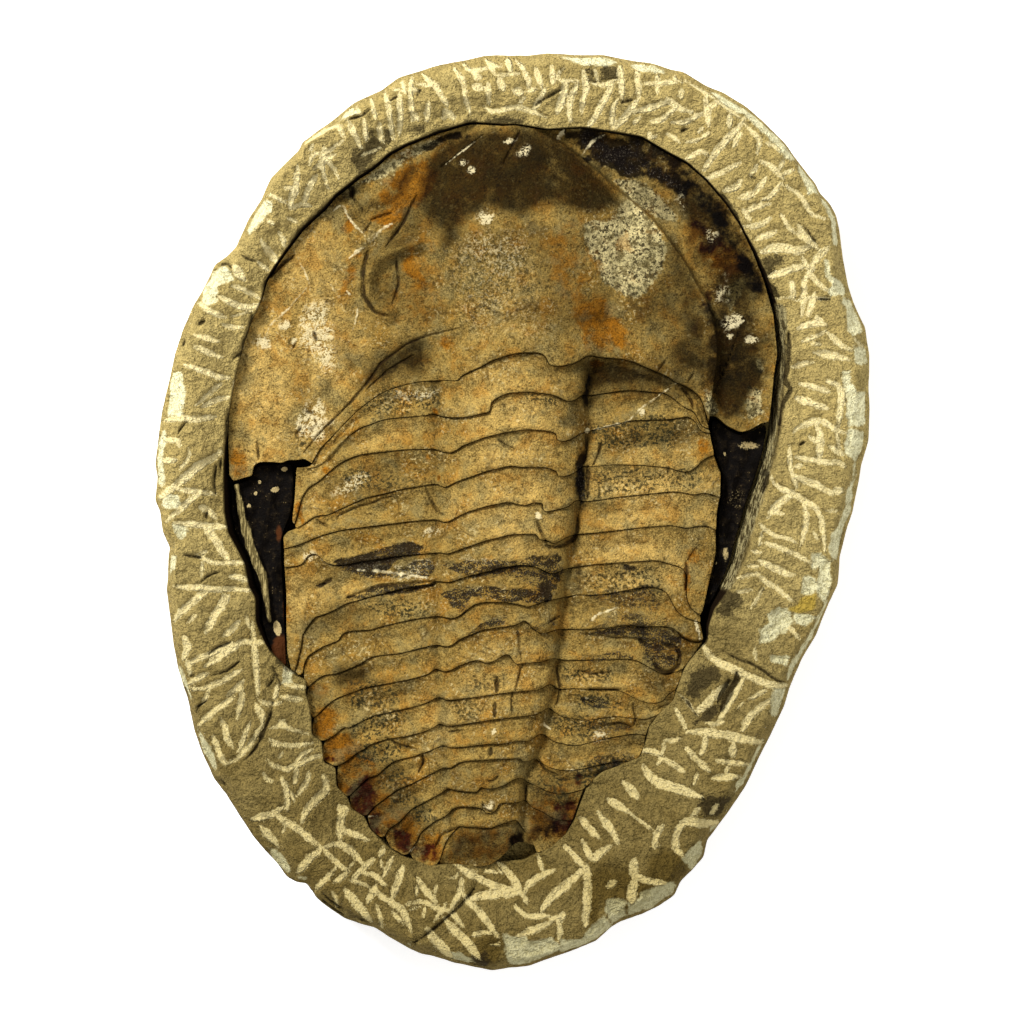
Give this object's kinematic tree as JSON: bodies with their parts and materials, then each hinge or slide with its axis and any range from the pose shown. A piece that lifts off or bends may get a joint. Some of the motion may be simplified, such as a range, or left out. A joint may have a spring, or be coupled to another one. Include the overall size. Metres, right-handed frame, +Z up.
{
  "type": "fossil holmia trilobite",
  "caption": "Large spiny Holmia trilobite lying face up in an oval hand-chiselled stone slab, a fossil to lay on a shelf or table.",
  "frame": {"origin": "centre of the slab's bounding box, on the flat underside of the stone", "axes": "+Y towards the head shield, +Z up out of the face of the slab, +X to the right when looked down on"},
  "size_m": [0.202, 0.26, 0.0378],
  "materials": {
    "limestone": "rough ochre stone, chiselled",
    "shell_tan": "tan to olive mineralised shell, slightly satin",
    "head_tan": "tan and dark olive-brown mineralised shell, slightly satin",
    "spine_black": "black manganese-stained cast",
    "tail_brown": "brown mineralised shell"
  },
  "bodies": {
    "root": {"matrix_slab": "limestone", "cephalon": "head_tan", "genal_spine_left": "spine_black", "genal_spine_right": "spine_black", "thorax_segment_01": "shell_tan", "thorax_segment_02": "shell_tan", "thorax_segment_03": "shell_tan", "thorax_segment_04": "shell_tan", "thorax_segment_05": "shell_tan", "thorax_segment_06": "shell_tan", "thorax_segment_07": "shell_tan", "thorax_segment_08": "shell_tan", "thorax_segment_09": "shell_tan", "thorax_segment_10": "shell_tan", "thorax_segment_11": "shell_tan", "thorax_segment_12": "shell_tan", "thorax_segment_13": "shell_tan", "thorax_segment_14": "shell_tan", "thorax_segment_15": "shell_tan", "thorax_segment_16": "shell_tan", "pygidium": "tail_brown"}
  },
  "joints": []
}
